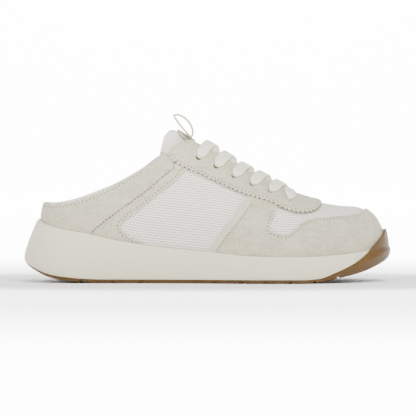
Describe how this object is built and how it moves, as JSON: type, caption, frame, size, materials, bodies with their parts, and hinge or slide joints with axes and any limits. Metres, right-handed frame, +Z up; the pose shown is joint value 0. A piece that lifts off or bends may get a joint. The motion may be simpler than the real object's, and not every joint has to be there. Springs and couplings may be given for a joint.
{
  "type": "slip-on shoe",
  "caption": "Right backless slip-on sneaker: laced throat, mesh and suede upper, thick flared foam midsole, gum rubber outsole wrapping the toe.",
  "frame": {"origin": "middle of the bounding box, on the ground under the sole", "axes": "+X towards the toe, +Y towards the inner side of the foot, +Z up"},
  "size_m": [0.2866, 0.1091, 0.1315],
  "materials": {
    "gum": "satin gum rubber",
    "foam": "matt moulded foam",
    "footbed": "brushed textile footbed",
    "knit": "open spacer mesh",
    "suede": "napped suede",
    "webbing": "narrow woven tape",
    "lace": "flat woven lace"
  },
  "bodies": {
    "root": {"outsole": "gum", "midsole": "foam", "insole": "footbed", "upper": "knit", "heel_panel": "suede", "quarter_strip_outer": "suede", "quarter_strip_inner": "suede", "toe_guard": "suede", "eyestay": "suede", "tongue": "knit", "tongue_tab": "suede", "pull_loop": "webbing", "lace_bar": "lace", "lace_crossing_1": "lace", "lace_crossing_2": "lace", "lace_crossing_3": "lace", "lace_crossing_4": "lace", "lace_crossing_5": "lace"}
  },
  "joints": []
}
